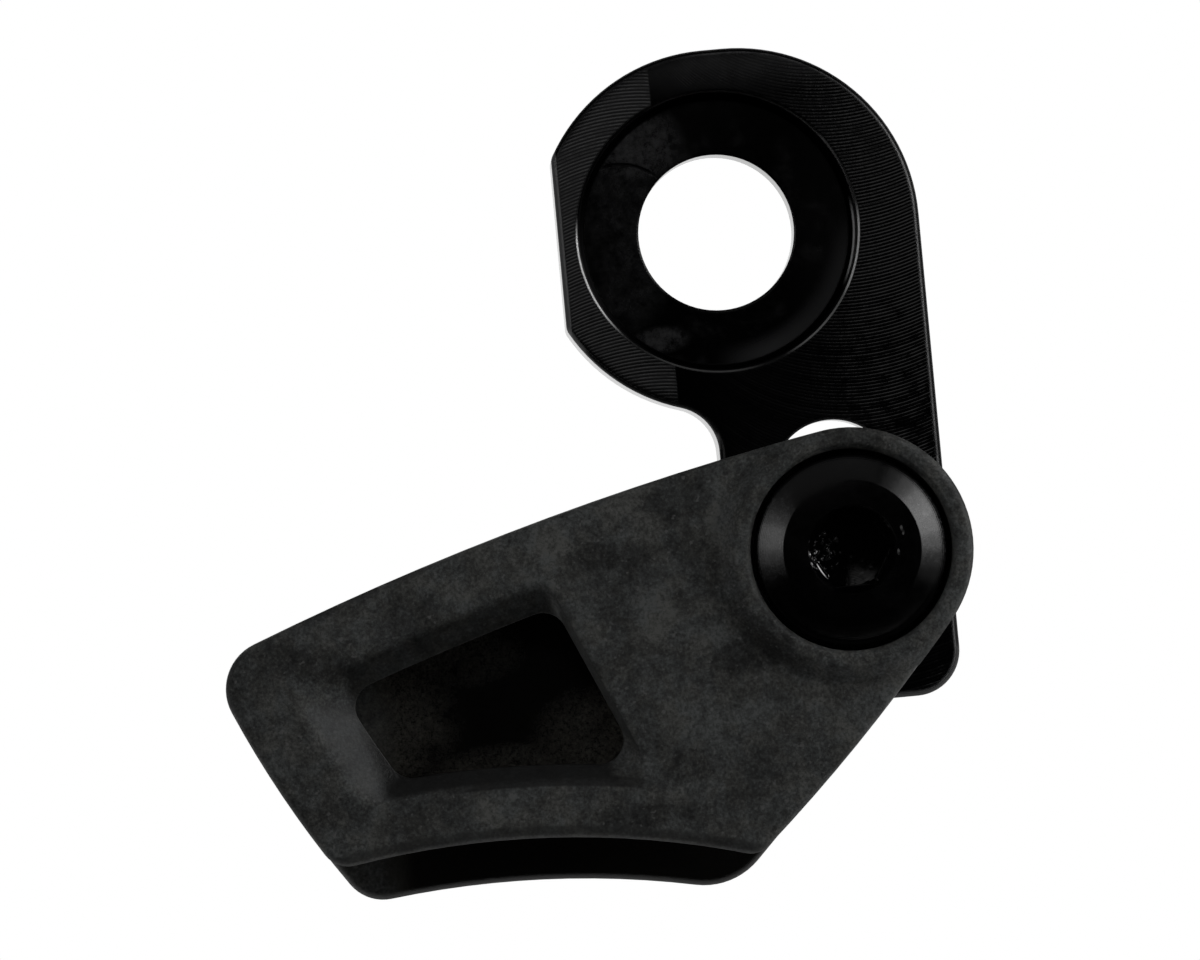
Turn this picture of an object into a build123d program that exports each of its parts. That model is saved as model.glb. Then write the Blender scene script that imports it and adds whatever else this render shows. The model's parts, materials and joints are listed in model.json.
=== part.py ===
from build123d import *
import os
from math import cos, radians, sin

# Bicycle chain guide, in millimetres.
# It is drawn as it is seen from its outer side: x to the right, y up along the height slot, z out
# towards the viewer. The origin is the pivot bore's centre on the bracket's back face.

# Bracket, milled from plate
plate_thickness = 5.0
bore_diameter = 11.0
recess_diameter = 19.5
recess_depth = 2.2
recess_floor_break = 0.35
ring_radius = 12.72
ring_widening = 1.48  # the right half of the ring stands out by this much
flat_offset = 11.2  # left flat, from the bore's axis
flat_blend = 1.0
neck_width = 15.5
neck_fillet = 3.4
end_wall = 3.15  # plate left below the slot
end_corner = 3.2
edge_break = 0.3
hole_break = 0.2  # on the front edges of the recess and the slot

# Height slot: where the bolt stands, and how far it can slide
bolt_drop = 23.2
travel_up = 5.0
travel_down = 3.2
slot_play = 0.25  # between the nut's barrel and each side of the slot

# Sleeve nut: a square flange in a pocket behind the slot, and a barrel that the cage turns on
flange_width = 11.0
flange_thickness = 2.3
flange_corner = 2.6
flange_play = 0.15
pocket_corner = 2.0
barrel_diameter = 8.0
barrel_setback = 0.6  # the barrel ends this far under the bolt's seat
thread_diameter = 6.0
thread_play = 0.03

# Cage, moulded in one piece: two plates, the roof that joins them, and a boss round the bolt
slide_gap = 0.1  # between faces that slide on each other when the bolt is loose
turn_play = 0.08  # cage on the nut's barrel
rear_wall = 1.7
channel_width = 6.4
front_wall = 1.7
roof_wall = 2.2
edge_round = 0.6
back_break = 0.4
end_radius = 8.35
top_radius = 209.0
top_angle = 99.7  # where the round end runs into the top edge
side_angle = -39.5  # where it runs into the side
front_side_radius = 123.4
rear_side_radius = 210.0
nose_radius = 70.0
nose_angle = 223.9
front_nose_reach = 40.5
rear_nose_reach = 40.8
nose_corner = 3.4
chainring_x = -26.0  # chainring's axis, from the bolt
front_lip_radius = 61.0
front_lip_drop = 17.55  # highest point of the lip, below the bolt
front_heel_corner = 2.0
front_toe_corner = 1.6
rear_lip_radius = 65.9
rear_lip_drop = 20.8
rear_heel_corner = 3.0
rear_toe_corner = 4.9
chain_radius = 72.5  # the chain runs clear inside this radius
boss_reach = 9.6
boss_blend = 2.0

# Collar, seat and bore of the boss
collar_height = 1.0
collar_inset = 0.35  # its flat rim ends this far inside the round end
collar_flank = 1.15
counterbore_diameter = 13.8
counterbore_depth = 4.6
rim_break = 0.3

# Window in the front plate, with a sloping surround that is deepest at the nose
window_top = 5.85
window_nose = 7.2
window_lip = 4.95
window_boss = 19.6  # from the bolt's axis to the window's near edge
window_lean = 23.6
window_corner = 1.7
slope_top = 2.2
slope_nose = 3.2
slope_lip = 1.35
slope_boss = 0.4
slope_depth = 1.1

# Clamp bolt and its washer
washer_diameter = 13.0
washer_bore = 6.4
washer_thickness = 1.0
head_diameter = 13.0
head_face_diameter = 9.4
head_rim_height = 3.1
head_cone_height = 1.1
socket_size = 5.0
socket_depth = 3.0
mouth_diameter = 6.2
mouth_depth = 0.35
bolt_length = 10.0
tip_chamfer = 0.6

# Places that follow from the sizes above
ring_right = ring_widening + ring_radius
slot_x = ring_right - neck_width / 2
slot_width = barrel_diameter + 2 * slot_play
slot_length = travel_up + travel_down
slot_middle = -bolt_drop + (travel_up - travel_down) / 2
bracket_bottom = -bolt_drop - travel_down - slot_width / 2 - end_wall
pocket_depth = flange_thickness + 2 * flange_play
cage_back = plate_thickness + slide_gap
channel_back = cage_back + rear_wall
channel_front = channel_back + channel_width
plate_face = channel_front + front_wall
boss_face = plate_face + collar_height
seat = boss_face - counterbore_depth
washer_back = seat + slide_gap
head_back = washer_back + washer_thickness
bolt_axis = Pos(slot_x, -bolt_drop)


def farthest(sketch, angle):
    # The corner that lies farthest out in one direction
    direction = Vector(cos(radians(angle)), sin(radians(angle)))
    return sketch.vertices().sort_by(lambda corner: Vector(corner).dot(direction))[-1]


def bracket_outline():
    neck = Rectangle(neck_width, -bracket_bottom, align=(Align.CENTER, Align.MAX))
    outline = Circle(ring_radius) + Pos(slot_x, 0) * neck
    left_corners = outline.vertices().filter_by(lambda corner: corner.X < slot_x)
    outline = fillet(left_corners.sort_by(Axis.Y)[-1], neck_fillet)
    outline += Pos(ring_widening, 0) * Circle(ring_radius)
    outline += Pos(ring_widening / 2, 0) * Rectangle(ring_widening, 2 * ring_radius)
    left_of_flat = Rectangle(ring_radius, 2 * ring_radius, align=(Align.MAX, Align.CENTER))
    outline -= Pos(-flat_offset, 0) * left_of_flat
    outline = fillet(outline.vertices().group_by(Axis.X)[0], flat_blend)
    return fillet(outline.vertices().group_by(Axis.Y)[0], end_corner)


def upright_slot(width, length):
    return SlotCenterToCenter(length, width, rotation=90)


def bracket():
    plate = extrude(bracket_outline(), plate_thickness)
    recess = extrude(Circle(recess_diameter / 2), recess_depth)
    recess = chamfer(recess.edges().group_by(Axis.Z)[0], recess_floor_break)
    plate -= Pos(0, 0, plate_thickness - recess_depth) * recess
    plate -= extrude(Circle(bore_diameter / 2), plate_thickness)
    plate -= Pos(slot_x, slot_middle) * extrude(upright_slot(slot_width, slot_length), plate_thickness)
    pocket = RectangleRounded(
        flange_width + 2 * flange_play, flange_width + slot_length + 2 * flange_play, pocket_corner
    )
    plate -= Pos(slot_x, slot_middle) * extrude(pocket, pocket_depth)
    plate = chamfer(plate.faces().sort_by(Axis.Z)[-1].outer_wire().edges(), edge_break)
    for hole in plate.faces().sort_by(Axis.Z)[-1].inner_wires():
        plate = chamfer(hole.edges(), hole_break)
    return chamfer(plate.faces().sort_by(Axis.Z)[0].outer_wire().edges(), edge_break)


def edge_disc(radius, reach, angle):
    # A disc whose edge passes the bolt's axis at a given reach, in a given direction
    shift = reach - radius
    return Pos(shift * cos(radians(angle)), shift * sin(radians(angle))) * Circle(radius)


def ring_disc(radius, drop, lip_radius):
    # A disc about the chainring's axis, which lies a lip's radius below the lip's highest point
    return Pos(chainring_x, -drop - lip_radius) * Circle(radius)


def plate_outline(side_radius, nose_reach, lip_radius, lip_drop, heel_corner, toe_corner):
    outline = edge_disc(top_radius, end_radius, top_angle)
    outline &= edge_disc(side_radius, end_radius, side_angle)
    outline &= edge_disc(nose_radius, nose_reach, nose_angle)
    outline -= ring_disc(lip_radius, lip_drop, lip_radius)
    outline = fillet(farthest(outline, 250), heel_corner)
    outline = fillet(farthest(outline, 300), toe_corner)
    outline = fillet(farthest(outline, 180), nose_corner)
    return fillet(farthest(outline, 30), end_radius)


def front_outline():
    return plate_outline(
        front_side_radius, front_nose_reach, front_lip_radius, front_lip_drop,
        front_heel_corner, front_toe_corner,
    )


def rear_outline():
    return plate_outline(
        rear_side_radius, rear_nose_reach, rear_lip_radius, rear_lip_drop,
        rear_heel_corner, rear_toe_corner,
    )


def channel_outline():
    # The room for the chain: under the roof, and clear of the boss
    room = edge_disc(top_radius - roof_wall, end_radius - roof_wall, top_angle)
    room &= Rectangle(4 * front_nose_reach, 4 * front_nose_reach)
    boss = Rectangle(4 * front_nose_reach, 8 * front_nose_reach, align=(Align.MIN, Align.CENTER))
    boss = Pos(-boss_reach, 0) * boss - ring_disc(chain_radius, front_lip_drop, front_lip_radius)
    room -= boss
    corners = room.vertices().filter_by_position(Axis.X, -boss_reach - edge_break, -boss_reach + edge_break)
    return fillet(corners, boss_blend)


def window_outline(widen):
    # Its sides follow the top edge, the nose and the lip. It grows by a share of each slope's width.
    top = window_top - widen * slope_top
    nose = window_nose - widen * slope_nose
    lip = window_lip - widen * slope_lip
    near = window_boss - widen * slope_boss
    outline = edge_disc(top_radius - top, end_radius - top, top_angle)
    outline &= edge_disc(nose_radius - nose, front_nose_reach - nose, nose_angle)
    beyond = Rectangle(4 * front_nose_reach, 4 * front_nose_reach, align=(Align.MAX, Align.CENTER))
    outline &= Rot(0, 0, window_lean) * (Pos(-near, 0) * beyond)
    outline -= ring_disc(front_lip_radius + lip, front_lip_drop, front_lip_radius)
    return fillet(outline.vertices(), window_corner)


def rounded_plate(outline, back, thickness):
    # Rounded at the front, broken at the back
    plate = Pos(0, 0, back) * extrude(outline, thickness)
    plate = fillet(plate.edges().group_by(Axis.Z)[-1], edge_round)
    return chamfer(plate.edges().group_by(Axis.Z)[0], back_break)


def cage():
    front = front_outline()
    body = rounded_plate(front, channel_front, front_wall)
    body += rounded_plate(rear_outline(), cage_back, rear_wall)
    roof = front - channel_outline()
    roof_depth = plate_face - edge_round - cage_back - back_break
    body += Pos(0, 0, cage_back + back_break) * extrude(roof, roof_depth)
    body += collar() & Pos(0, 0, cage_back) * extrude(front, boss_face - cage_back)
    return body - bolt_room() - window()


def bolt_room():
    # The bore on the nut's barrel, the counterbore for the head, and its broken rim
    bore = barrel_diameter / 2 + turn_play
    counterbore = counterbore_diameter / 2
    rim = boss_face - rim_break
    with BuildSketch(Plane.XZ) as section:
        with BuildLine():
            Polyline(
                (0, cage_back), (bore, cage_back), (bore, seat), (counterbore, seat), (counterbore, rim),
                (counterbore + rim_break, boss_face), (0, boss_face), close=True,
            )
        make_face()
    return revolve(section.sketch, Axis.Z)


def collar():
    # The boss's raised rim, with a flank that slopes down to the plate
    rim = end_radius - collar_inset
    sunk = plate_face - edge_round
    with BuildSketch(Plane.XZ) as section:
        with BuildLine():
            Polyline(
                (0, sunk), (rim + collar_flank, sunk), (rim + collar_flank, plate_face), (rim, boss_face),
                (0, boss_face), close=True,
            )
        make_face()
    return revolve(section.sketch, Axis.Z)


def window():
    inner = window_outline(0)
    floor = plate_face - slope_depth
    surround = loft([Pos(0, 0, floor) * inner, Pos(0, 0, plate_face) * window_outline(1)])
    return surround + Pos(0, 0, channel_front) * extrude(inner, floor - channel_front)


def sleeve_nut():
    flange = extrude(RectangleRounded(flange_width, flange_width, flange_corner), flange_thickness)
    nut = Pos(0, 0, flange_play) * flange
    barrel = extrude(Circle(barrel_diameter / 2), seat - barrel_setback - flange_play)
    nut += Pos(0, 0, flange_play) * barrel
    nut -= extrude(Circle(thread_diameter / 2 + thread_play), seat)
    return bolt_axis * nut


def washer():
    ring = Circle(washer_diameter / 2) - Circle(washer_bore / 2)
    return bolt_axis * Pos(0, 0, washer_back) * extrude(ring, washer_thickness)


def clamp_bolt():
    shank = thread_diameter / 2
    rim = head_diameter / 2
    top = head_rim_height + head_cone_height
    with BuildSketch(Plane.XZ) as section:
        with BuildLine():
            Polyline(
                (0, -bolt_length), (shank - tip_chamfer, -bolt_length), (shank, tip_chamfer - bolt_length),
                (shank, 0), (rim, 0), (rim, head_rim_height), (head_face_diameter / 2, top), (0, top),
                close=True,
            )
        make_face()
    bolt = revolve(section.sketch, Axis.Z)
    socket = RegularPolygon(socket_size / 2, 6, major_radius=False)
    bolt -= Pos(0, 0, top - socket_depth) * extrude(socket, socket_depth)
    bolt -= Pos(0, 0, top) * Cone(
        socket_size / 2, mouth_diameter / 2, mouth_depth, align=(Align.CENTER, Align.CENTER, Align.MAX)
    )
    return bolt_axis * Pos(0, 0, head_back) * bolt


pieces = {
    "bracket": bracket(),
    "cage": bolt_axis * cage(),
    "clamp_bolt": clamp_bolt(),
    "bolt_washer": washer(),
    "sleeve_nut": sleeve_nut(),
}

os.makedirs("parts", exist_ok=True)
for name, solid in pieces.items():
    # The drawing's y becomes the part's +Z, and its z the part's -Y
    placed = Plane.XZ.location * solid
    export_step(placed, os.path.join("parts", name + ".step"))
    print(name, len(placed.solids()), round(placed.volume, 1))
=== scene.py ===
import bpy
import bmesh
import json
import math
from mathutils import Matrix, Vector


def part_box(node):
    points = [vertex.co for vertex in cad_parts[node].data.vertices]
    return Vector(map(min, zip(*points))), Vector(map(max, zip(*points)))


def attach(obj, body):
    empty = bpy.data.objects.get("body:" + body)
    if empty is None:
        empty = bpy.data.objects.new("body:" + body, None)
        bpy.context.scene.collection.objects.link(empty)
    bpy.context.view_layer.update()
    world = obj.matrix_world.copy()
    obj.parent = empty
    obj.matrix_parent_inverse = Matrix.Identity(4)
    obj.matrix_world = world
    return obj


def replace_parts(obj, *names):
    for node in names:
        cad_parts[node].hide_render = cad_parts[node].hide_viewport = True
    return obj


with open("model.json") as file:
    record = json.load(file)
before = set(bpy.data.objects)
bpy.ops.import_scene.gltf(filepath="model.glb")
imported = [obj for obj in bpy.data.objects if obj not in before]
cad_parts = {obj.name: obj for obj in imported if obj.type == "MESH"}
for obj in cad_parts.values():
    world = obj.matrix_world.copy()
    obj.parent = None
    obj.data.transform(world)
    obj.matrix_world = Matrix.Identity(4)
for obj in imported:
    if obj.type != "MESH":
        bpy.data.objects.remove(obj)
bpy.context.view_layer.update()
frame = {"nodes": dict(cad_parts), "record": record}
scene = bpy.context.scene
scene.view_settings.view_transform = "Standard"
mm = 0.001
boltLow, boltHigh = (Vector(corner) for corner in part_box("clamp_bolt"))
boltAxis = (boltLow + boltHigh) / 2  # the clamp's axis runs along Y through here
print("frame loaded")


# small helpers for shader trees

def feed(tree, socket, value):
    if isinstance(value, bpy.types.NodeSocket):
        tree.links.new(value, socket)
    else:
        socket.default_value = value


def calc(tree, operation, *values, clamp=False):
    node = tree.nodes.new("ShaderNodeMath")
    node.operation = operation
    node.use_clamp = clamp
    for socket, value in zip(node.inputs, values):
        feed(tree, socket, value)
    return node.outputs[0]


def times(tree, product, *others):
    for other in others:
        product = calc(tree, "MULTIPLY", product, other)
    return product


def added(tree, total, value, share):  # total + value * share
    return calc(tree, "MULTIPLY_ADD", value, share, total)


def strongest(tree, most, *others):
    for other in others:
        most = calc(tree, "MAXIMUM", most, other)
    return most


def without(tree, mask):
    return calc(tree, "SUBTRACT", 1.0, mask)


def smooth(tree, value, low, high):  # 0 at low, 1 at high
    node = tree.nodes.new("ShaderNodeMapRange")
    node.interpolation_type = "SMOOTHSTEP"
    feed(tree, node.inputs["Value"], value)
    feed(tree, node.inputs["From Min"], low)
    feed(tree, node.inputs["From Max"], high)
    return node.outputs["Result"]


def ramp(tree, value, limits):  # the same, with both limits in mm
    low, high = limits
    return smooth(tree, value, low * mm, high * mm)


def band(tree, value, limits):  # rises between the first two limits and falls between the last two
    start, full, last, end = limits
    return times(tree, ramp(tree, value, (start, full)), ramp(tree, value, (end, last)))


def mixed(tree, factor, first, second):  # numbers
    node = tree.nodes.new("ShaderNodeMix")
    feed(tree, node.inputs[0], factor)
    feed(tree, node.inputs[2], first)
    feed(tree, node.inputs[3], second)
    return node.outputs[0]


def tinted(tree, factor, first, second):  # colours
    node = tree.nodes.new("ShaderNodeMix")
    node.data_type = "RGBA"
    feed(tree, node.inputs[0], factor)
    for socket, colour in zip(node.inputs[6:8], (first, second)):
        feed(tree, socket, (*colour, 1) if isinstance(colour, tuple) else colour)
    return node.outputs[2]


def noise(tree, at, scale, detail, roughness):
    node = tree.nodes.new("ShaderNodeTexNoise")
    feed(tree, node.inputs["Vector"], at)
    feed(tree, node.inputs["Scale"], scale)
    feed(tree, node.inputs["Detail"], detail)
    feed(tree, node.inputs["Roughness"], roughness)
    return node.outputs["Fac"]


def patches(tree, at, scale, detail, roughness, low, high):  # noise above low, full from high on
    return smooth(tree, noise(tree, at, scale, detail, roughness), low, high)


def split(tree, at):
    node = tree.nodes.new("ShaderNodeSeparateXYZ")
    feed(tree, node.inputs[0], at)
    return node.outputs


def offsets(tree, x, z, centre):  # from a point in X and Z
    return [calc(tree, "SUBTRACT", value, middle) for value, middle in zip((x, z), centre)]


def distance(tree, x, z):
    return calc(tree, "SQRT", added(tree, times(tree, z, z), x, x))


spotFade = (1.0, 0.1)  # squared shares of a spot's reach, at its edge and where it is full


def spots(tree, x, z, places):  # soft ovals, each given in mm by its centre and its reach in X and Z
    total = 0.0
    for centreX, centreZ, reachX, reachZ in places:
        over = calc(tree, "MULTIPLY_ADD", x, 1 / (reachX * mm), -centreX / reachX)
        up = calc(tree, "MULTIPLY_ADD", z, 1 / (reachZ * mm), -centreZ / reachZ)
        away = added(tree, times(tree, up, up), over, over)
        total = strongest(tree, total, smooth(tree, away, *spotFade))
    return total


def aimed(tree, x, z, away, degrees, start, full):  # 1 within full degrees of a direction, 0 from start on
    turn, edge, core = (math.radians(angle) for angle in (degrees, start, full))
    along = added(tree, times(tree, z, math.sin(turn)), x, math.cos(turn))
    return smooth(tree, calc(tree, "DIVIDE", along, away), math.cos(edge), math.cos(core))


def newGroup(name, inputs, outputs):
    tree = bpy.data.node_groups.new(name, "ShaderNodeTree")
    for label, kind, value in inputs:
        socket = tree.interface.new_socket(label, in_out="INPUT", socket_type=kind)
        if value is not None:
            socket.default_value = value
    for label, kind in outputs:
        tree.interface.new_socket(label, in_out="OUTPUT", socket_type=kind)
    return tree, tree.nodes.new("NodeGroupInput").outputs, tree.nodes.new("NodeGroupOutput").inputs


def place(tree, group, **values):  # puts a group into a material with its own values
    node = tree.nodes.new("ShaderNodeGroup")
    node.node_tree = group
    for label, value in values.items():
        feed(tree, node.inputs[label], value)
    return node.outputs


def newMaterial(name):
    material = bpy.data.materials.new(name)
    material.use_nodes = True
    tree = material.node_tree
    where = tree.nodes.new("ShaderNodeTexCoord").outputs["Object"]
    return material, tree, tree.nodes["Principled BSDF"].inputs, where


def bump(tree, height, depth, normal):
    node = tree.nodes.new("ShaderNodeBump")
    feed(tree, node.inputs["Height"], height)
    feed(tree, node.inputs["Distance"], depth)
    feed(tree, node.inputs["Normal"], normal)
    return node.outputs["Normal"]


# shared effects: a noise is its detail and roughness, and each material gives the scale
floatKind, vectorKind = "NodeSocketFloat", "NodeSocketVector"
effectPlan = {
    "edgeSamples": 6,
    "edgeTurn": (0.999, 0.93),  # cosine between the flat normal and the rounded one
    "fine": (3, 0.6),
    "patch": (4, 0.62),
    "speck": (1, 0.4),
    "speckScale": 0.55,  # share of the fine noise's scale
    "speckLimits": (0.66, 0.8),
    "smear": (5, 0.7),
    "smearLimits": (0.48, 0.74),
}


def makeSoftEdge(s):  # a small rounding of sharp edges, and a mask of where they are
    tree, given, result = newGroup(
        "softEdge", [("Radius", floatKind, 0.0)], [("Normal", vectorKind), ("Edge", floatKind)])
    rounded = tree.nodes.new("ShaderNodeBevel")
    rounded.samples = s["edgeSamples"]
    feed(tree, rounded.inputs["Radius"], given["Radius"])
    facing = tree.nodes.new("ShaderNodeVectorMath")
    facing.operation = "DOT_PRODUCT"
    feed(tree, facing.inputs[0], rounded.outputs[0])
    feed(tree, facing.inputs[1], tree.nodes.new("ShaderNodeNewGeometry").outputs["True Normal"])
    feed(tree, result["Normal"], rounded.outputs[0])
    feed(tree, result["Edge"], smooth(tree, facing.outputs["Value"], *s["edgeTurn"]))
    return tree


def makeGrain(s):  # the fine skin of a moulded or etched surface
    tree, given, result = newGroup(
        "grain", [("Place", vectorKind, None), ("Fine", floatKind, 6000.0), ("Patch", floatKind, 320.0)],
        [("Height", floatKind), ("Patch", floatKind), ("Speck", floatKind)])
    feed(tree, result["Height"], noise(tree, given["Place"], given["Fine"], *s["fine"]))
    feed(tree, result["Patch"], noise(tree, given["Place"], given["Patch"], *s["patch"]))
    speckScale = times(tree, given["Fine"], s["speckScale"])
    speck = patches(tree, given["Place"], speckScale, *s["speck"], *s["speckLimits"])
    feed(tree, result["Speck"], speck)
    return tree


def makeHandling(s):  # smears from handling
    tree, given, result = newGroup(
        "handling", [("Place", vectorKind, None), ("Size", floatKind, 260.0)], [("Smear", floatKind)])
    smear = patches(tree, given["Place"], given["Size"], *s["smear"], *s["smearLimits"])
    feed(tree, result["Smear"], smear)
    return tree


def makeMillingPass():  # arcs that a face cutter leaves as it is fed along Z
    tree, given, result = newGroup(
        "millingPass",
        [(label, floatKind, 0.0) for label in ("X", "Z", "Centre", "Cutter", "Feed", "Bow")],
        [("Ridge", floatKind), ("Tone", floatKind)])
    across = calc(tree, "SUBTRACT", given["X"], given["Centre"])
    reach = times(tree, given["Cutter"], given["Cutter"])
    inside = calc(tree, "SUBTRACT", reach, times(tree, across, across))
    arc = calc(tree, "SQRT", calc(tree, "MAXIMUM", inside, 0.0))
    along = calc(tree, "SUBTRACT", given["Z"], times(tree, arc, given["Bow"]))
    turn = calc(tree, "DIVIDE", along, given["Feed"])
    wave = calc(tree, "COSINE", times(tree, turn, 2 * math.pi))
    feed(tree, result["Ridge"], calc(tree, "MULTIPLY_ADD", wave, 0.5, 0.5))
    each = tree.nodes.new("ShaderNodeTexWhiteNoise")
    each.noise_dimensions = "1D"
    feed(tree, each.inputs["W"], calc(tree, "ROUND", turn))  # the tone changes in the valleys
    feed(tree, result["Tone"], each.outputs["Value"])
    return tree


softEdge, grain, handling = makeSoftEdge(effectPlan), makeGrain(effectPlan), makeHandling(effectPlan)
millingPass = makeMillingPass()
print("shared effects built")


# finishes: lengths in mm, directions in degrees
# two limits are where a mask starts and where it is full, four are a band
# an aim is a direction with the angles off it where it starts and where it is full
# a noise is its scale, detail and roughness, and patches have the noise's limits after these

bracketFinish = {
    "black": (0.0003, 0.0003, 0.0004),
    # painted sheen on the crests of the milling lines, on the left pass and at the ring's top, and paler
    # towards the right of the recess floor
    "crest": (0.014, 0.014, 0.0143),
    # smears, with painted sheen at the ring's top and a painted highlight towards the recess floor's lower
    # right edge
    "smudgeAndSheen": (0.03, 0.03, 0.031),
    # edge wear with a painted highlight along the outer edge, and painted reflection on the flat's broken
    # edge
    "wornEdgeAndSheen": (0.12, 0.12, 0.122),
    "bare": (0.5, 0.5, 0.5),  # painted glints and a painted highlight, as bare metal, on the recess rim and at the wall's foot
    "ior": 1.38,
    "faceRoughness": 0.115,
    "smoothRoughness": 0.13,
    "wallRoughness": 0.3,
    "smearRoughness": 0.42,
    "smearDulls": 0.45,
    "edgeRound": 0.3,
    "wallRound": 0.02,
    "frontFace": (-4.96, -4.99),

    # milling lines
    "leftPass": (-3.8, -3.9),  # where the two passes meet
    "passes": [(8.9, -1.0), (-5.7, 1.0)],  # right and left: the cutter's path, and how its arcs bow
    "cutterRadius": 14.3,
    "feed": 0.242,
    "lineDepth": 0.0135,
    "passEnd": (-10, -1),
    "endDepth": 0.68,  # shallower towards the end of the right pass
    "lineStart": (-3.0, -5.2),  # of the right pass, low down and at the ring's top
    "lineRise": 4.5,
    "ringTop": (6, 10),
    "unevenNoise": (1300.0, 3, 0.6),
    "uneven": (1.6, 0.2),
    "toneDepth": (0.8, 1.1),
    "rightCrest": 0.25,
    "toneCrest": (0.7, 0.5),
    # painted sheen on the left pass, stronger higher up
    "leftHeights": (-8, 8),
    "leftPassSheen": (0.24, 0.7),
    "margin": 1.1,  # lines stop this far from the round outer edge
    "marginHeight": (6.6, 7.4),
    "marginSide": (6, 2),
    "marginAway": (10.3, 10.6),

    # painted sheen at the ring's top, and wear with a painted highlight along the outer edge, more of it
    # towards the right
    "topSheenHeight": (9.0, 12.3),
    "topSheenStart": (-4, 0),
    "topSheenPatches": (600.0, 4, 0.65, 0.3, 0.7),
    "topSheenCrest": 0.7,
    "topSheenShare": 0.3,
    "outerEdge": (10.1, 10.4),
    "wornSheenStart": (-2, 1),
    "wornSheenMore": (7, 12),
    "wornSheenLess": 0.4,
    "wornSheenPatches": (900.0, 3, 0.6, 0.2, 0.55),
    "flatSide": (-10.8, -10.9),  # the broken edge of the flat on the left, lightened as painted reflection
    "flatDepth": (-4.5, -4.7),
    "flatSheen": 0.6,

    # recess wall, its rim and its foot: painted shade on the wall, painted glints on the rim, a painted
    # highlight at the foot
    "wallAway": (9.3, 9.4, 9.83, 9.85),
    "wallDepth": (-4.75, -4.7, -2.7, -2.6),
    "rimAway": (10.02, 9.94),
    "rimDepth": (-4.7, -4.8),
    # the rim at the upper left is made as black as the wall: painted shade
    "rimDarkAway": (9.7, 9.78),
    "rimDarkAim": (147, 38, 28),
    "rimBareAway": (9.83, 9.89),
    "rimGlints": [  # painted glints: an aim and a strength each
        (-14, 22, 8, 1.0), (-38, 30, 12, 0.3), (196, 27, 7, 1.0), (258, 28, 10, 0.08),
    ],
    # a painted highlight line where the wall meets the floor, on the right
    "footAway": (9.6, 9.68, 9.77, 9.8),
    "footDepth": (-3.5, -3.4, -2.7, -2.6),
    "footAim": (-9, 20, 8),
    "footHighlight": 0.6,

    # recess floor
    "floorAway": (9.4, 9.2),
    "floorDepth": (-2.9, -2.82, -2.7, -2.6),
    "floorPaler": (4, 9),
    "floorCrest": 0.3,
    "ringPitch": 0.16,
    "ringHeight": 0.06,  # this and the scratch's depth are shares of the lines' depth
    "scratchDepth": 6.0,
    "scratchCentre": (-6.6, 1.5),
    "scratchRadius": 3.9,
    "scratchWidth": (0.16, 0.03),
    "scratchSpan": (-8.2, -7.2, -4.6, -3.6),
    "scratchAbove": (3.5, 4.2),
    "rubbed": [(-5.4, 6.8, 4.2, 3.4), (-4.6, -7.2, 2.4, 1.1)],
    "dulled": [(-6.6, 2.0, 3.6, 7.5), (-6.4, -3.4, 3.0, 3.4)],
    "dulling": 0.36,
    "rubbedPatches": (1300.0, 6, 0.85, 0.3, 0.7),
    "smearSize": 340.0,
    "smearShare": 0.25,
    "smearColour": 0.9,
    # a painted highlight towards the floor's edge, at the lower right
    "filletHighlightAway": (7.6, 9.3),
    "filletHighlightAim": (-45, 53.13, 18.195),
}


def cutterLines(tree, s, where, x, z, left):  # height and tone of the lines that both passes leave
    passes = [
        place(tree, millingPass, X=x, Z=z, Centre=centre * mm, Bow=bow,
              Cutter=s["cutterRadius"] * mm, Feed=s["feed"] * mm)
        for centre, bow in s["passes"]
    ]
    ridge, tone = (mixed(tree, left, passes[0][label], passes[1][label]) for label in ("Ridge", "Tone"))
    low, high = s["lineStart"]
    begins = mixed(tree, ramp(tree, z, s["ringTop"]), low * mm, high * mm)
    fade = smooth(tree, x, begins, calc(tree, "ADD", begins, s["lineRise"] * mm))
    fade = times(tree, fade, mixed(tree, ramp(tree, z, s["passEnd"]), s["endDepth"], 1.0))
    uneven = calc(tree, "MULTIPLY_ADD", noise(tree, where, *s["unevenNoise"]), *s["uneven"])
    uneven = times(tree, uneven, mixed(tree, tone, *s["toneDepth"]))
    return times(tree, ridge, mixed(tree, left, fade, 1.0), uneven), tone


def recessWall(tree, s, x, y, z, away):  # the wall reflects next to nothing, as painted shade, and so does the rim at the upper left; painted glints go on the rest of the rim and a painted highlight on the foot
    wall = times(tree, band(tree, away, s["wallAway"]), band(tree, y, s["wallDepth"]))
    rim = times(tree, ramp(tree, away, s["rimAway"]), ramp(tree, y, s["rimDepth"]))
    shadedRim = times(tree, ramp(tree, away, s["rimDarkAway"]), aimed(tree, x, z, away, *s["rimDarkAim"]))
    wall = strongest(tree, wall, times(tree, rim, shadedRim))
    # painted glints, as bare metal, on the rim at given aims
    bare = strongest(tree, *(
        times(tree, aimed(tree, x, z, away, *aim), strength) for *aim, strength in s["rimGlints"]))
    bare = times(tree, bare, rim, ramp(tree, away, s["rimBareAway"]))
    # a painted highlight line at the wall's foot, on the right
    foot = times(tree, band(tree, away, s["footAway"]), band(tree, y, s["footDepth"]),
                 aimed(tree, x, z, away, *s["footAim"]))
    return times(tree, wall, without(tree, foot)), added(tree, bare, foot, s["footHighlight"])


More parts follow.
